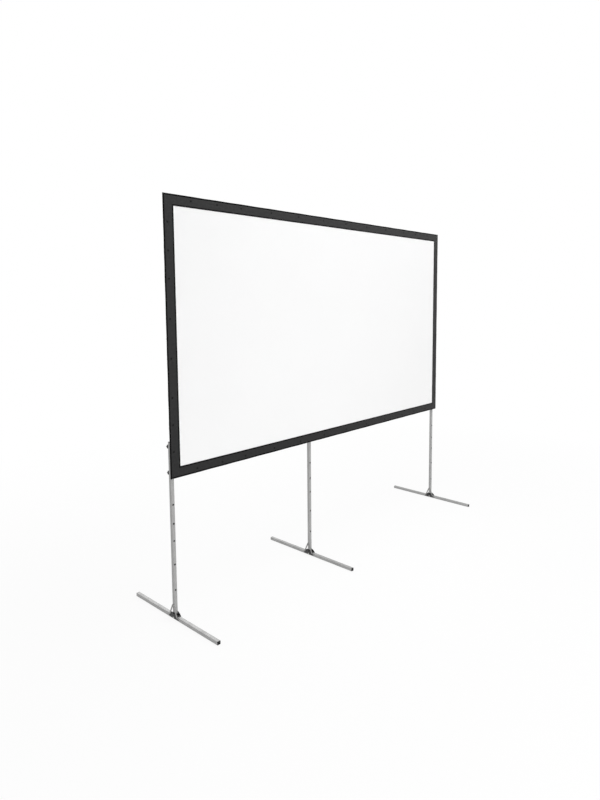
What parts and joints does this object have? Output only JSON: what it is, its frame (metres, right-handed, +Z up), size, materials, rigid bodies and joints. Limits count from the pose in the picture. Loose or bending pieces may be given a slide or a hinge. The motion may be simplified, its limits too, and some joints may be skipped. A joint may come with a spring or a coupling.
{
  "type": "fast-fold projection screen",
  "caption": "Front projection screen: white sheet in a black snap border on a folding square-tube frame, standing on T legs with folding feet.",
  "frame": {"origin": "on the floor, midway along the screen's width and midway along the feet", "axes": "+X to the viewer's right along the screen, -Y towards the audience, +Z up"},
  "size_m": [4.264, 1.3, 3.804],
  "materials": {
    "aluminium_tube": "satin mill-finished square tube",
    "bright_steel": "zinc plated",
    "black_steel": "black powder coat, satin",
    "black_plastic": "moulded, fine matt grain",
    "black_border": "coated black cloth with a faint sheen",
    "white_sheet": "matt white front projection sheet"
  },
  "bodies": {
    "base": {"bottom_corner_left": "aluminium_tube", "bottom_rail_left": "aluminium_tube", "bottom_rail_right": "aluminium_tube", "bottom_corner_right": "aluminium_tube", "bottom_pin_left": "bright_steel", "bottom_pin_middle": "bright_steel", "bottom_pin_right": "bright_steel", "left_pin_lower": "bright_steel", "right_pin_lower": "bright_steel", "post_left": "aluminium_tube", "post_middle": "aluminium_tube", "post_right": "aluminium_tube", "post_cap_left": "black_plastic", "post_cap_middle": "black_plastic", "post_cap_right": "black_plastic", "border": "black_border", "projection_surface": "white_sheet"},
    "side_lower_left": {"side_lower_left": "aluminium_tube", "left_pin_middle": "bright_steel"},
    "side_upper_left": {"side_upper_left": "aluminium_tube"},
    "side_lower_right": {"side_lower_right": "aluminium_tube", "right_pin_middle": "bright_steel"},
    "side_upper_right": {"side_upper_right": "aluminium_tube"},
    "top": {"top_corner_left": "aluminium_tube", "top_rail_left": "aluminium_tube", "top_rail_right": "aluminium_tube", "top_corner_right": "aluminium_tube", "top_pin_left": "bright_steel", "top_pin_middle": "bright_steel", "top_pin_right": "bright_steel", "left_pin_upper": "bright_steel", "right_pin_upper": "bright_steel"},
    "foot_left": {"foot_bar_left": "aluminium_tube", "foot_cap_front_left": "black_plastic", "foot_cap_rear_left": "black_plastic", "foot_bracket_left": "black_steel", "foot_pivot_bolt_left": "black_steel"},
    "stay_front_left": {"stay_front_left": "bright_steel"},
    "stay_rear_left": {"stay_rear_left": "bright_steel"},
    "rail_knob_left": {"rail_knob_left": "black_plastic"},
    "foot_middle": {"foot_bar_middle": "aluminium_tube", "foot_cap_front_middle": "black_plastic", "foot_cap_rear_middle": "black_plastic", "foot_bracket_middle": "black_steel", "foot_pivot_bolt_middle": "black_steel"},
    "stay_front_middle": {"stay_front_middle": "bright_steel"},
    "stay_rear_middle": {"stay_rear_middle": "bright_steel"},
    "rail_knob_middle": {"rail_knob_middle": "black_plastic"},
    "foot_right": {"foot_bar_right": "aluminium_tube", "foot_cap_front_right": "black_plastic", "foot_cap_rear_right": "black_plastic", "foot_bracket_right": "black_steel", "foot_pivot_bolt_right": "black_steel"},
    "stay_front_right": {"stay_front_right": "bright_steel"},
    "stay_rear_right": {"stay_rear_right": "bright_steel"},
    "rail_knob_right": {"rail_knob_right": "black_plastic"},
    "arm_knob_left": {"arm_knob_left": "black_plastic"},
    "arm_knob_right": {"arm_knob_right": "black_plastic"}
  },
  "joints": [
    {"name": "screen_fold", "type": "hinge", "parent": "side_lower_left", "child": "side_upper_left", "pos_m": [-2.114, -0.0323, 2.561], "axis": [0, -1, 0], "range_deg": [0, 180], "deforming": ["border", "projection_surface"]},
    {"name": "left_lower_fold", "type": "hinge", "parent": "base", "child": "side_lower_left", "pos_m": [-2.07, -0.0323, 1.658], "axis": [0, 1, 0], "range_deg": [0, 90]},
    {"name": "left_upper_fold", "type": "hinge", "parent": "side_upper_left", "child": "top", "pos_m": [-2.07, -0.0323, 3.464], "axis": [0, 1, 0], "range_deg": [0, 90]},
    {"name": "right_lower_fold", "type": "hinge", "parent": "base", "child": "side_lower_right", "pos_m": [2.07, -0.0323, 1.658], "axis": [0, 1, 0], "range_deg": [-90, 0]},
    {"name": "right_middle_fold", "type": "hinge", "parent": "side_lower_right", "child": "side_upper_right", "pos_m": [2.114, -0.0323, 2.561], "axis": [0, 1, 0], "range_deg": [0, 180]},
    {"name": "foot_fold_left", "type": "hinge", "parent": "base", "child": "foot_left", "pos_m": [-2.092, 0, 0.0528], "axis": [1, 0, 0], "range_deg": [0, 90]},
    {"name": "stay_front_swing_left", "type": "hinge", "parent": "base", "child": "stay_front_left", "pos_m": [-2.1134, -0.008, 0.1328], "axis": [1, 0, 0], "range_deg": [-144, 0]},
    {"name": "stay_rear_swing_left", "type": "hinge", "parent": "base", "child": "stay_rear_left", "pos_m": [-2.1134, 0.008, 0.1328], "axis": [1, 0, 0], "range_deg": [0, 144]},
    {"name": "foot_fold_middle", "type": "hinge", "parent": "base", "child": "foot_middle", "pos_m": [-0.38, 0, 0.0528], "axis": [1, 0, 0], "range_deg": [0, 90]},
    {"name": "stay_front_swing_middle", "type": "hinge", "parent": "base", "child": "stay_front_middle", "pos_m": [-0.4014, -0.008, 0.1328], "axis": [1, 0, 0], "range_deg": [-144, 0]},
    {"name": "stay_rear_swing_middle", "type": "hinge", "parent": "base", "child": "stay_rear_middle", "pos_m": [-0.4014, 0.008, 0.1328], "axis": [1, 0, 0], "range_deg": [0, 144]},
    {"name": "foot_fold_right", "type": "hinge", "parent": "base", "child": "foot_right", "pos_m": [2.092, 0, 0.0528], "axis": [1, 0, 0], "range_deg": [0, 90]},
    {"name": "stay_front_swing_right", "type": "hinge", "parent": "base", "child": "stay_front_right", "pos_m": [2.0706, -0.008, 0.1328], "axis": [1, 0, 0], "range_deg": [-144, 0]},
    {"name": "stay_rear_swing_right", "type": "hinge", "parent": "base", "child": "stay_rear_right", "pos_m": [2.0706, 0.008, 0.1328], "axis": [1, 0, 0], "range_deg": [0, 144]},
    {"name": "rail_knob_turn_left", "type": "hinge", "parent": "base", "child": "rail_knob_left", "pos_m": [-2.092, 0.032, 1.358], "axis": [0, 1, 0], "continuous": true},
    {"name": "rail_knob_turn_middle", "type": "hinge", "parent": "base", "child": "rail_knob_middle", "pos_m": [-0.38, 0.032, 1.358], "axis": [0, 1, 0], "continuous": true},
    {"name": "rail_knob_turn_right", "type": "hinge", "parent": "base", "child": "rail_knob_right", "pos_m": [2.092, 0.032, 1.358], "axis": [0, 1, 0], "continuous": true},
    {"name": "arm_knob_turn_left", "type": "hinge", "parent": "base", "child": "arm_knob_left", "pos_m": [-2.092, 0.032, 1.596], "axis": [0, 1, 0], "continuous": true},
    {"name": "arm_knob_turn_right", "type": "hinge", "parent": "base", "child": "arm_knob_right", "pos_m": [2.092, 0.032, 1.596], "axis": [0, 1, 0], "continuous": true}
  ],
  "couplings": [
    {"joint": "left_lower_fold", "follows": "screen_fold", "ratio": 0.5},
    {"joint": "left_upper_fold", "follows": "screen_fold", "ratio": 0.5},
    {"joint": "right_lower_fold", "follows": "screen_fold", "ratio": -0.5},
    {"joint": "right_middle_fold", "follows": "screen_fold", "ratio": 1},
    {"joint": "stay_front_swing_left", "follows": "foot_fold_left", "ratio": -1.6},
    {"joint": "stay_rear_swing_left", "follows": "foot_fold_left", "ratio": 1.6},
    {"joint": "stay_front_swing_middle", "follows": "foot_fold_middle", "ratio": -1.6},
    {"joint": "stay_rear_swing_middle", "follows": "foot_fold_middle", "ratio": 1.6},
    {"joint": "stay_front_swing_right", "follows": "foot_fold_right", "ratio": -1.6},
    {"joint": "stay_rear_swing_right", "follows": "foot_fold_right", "ratio": 1.6}
  ]
}
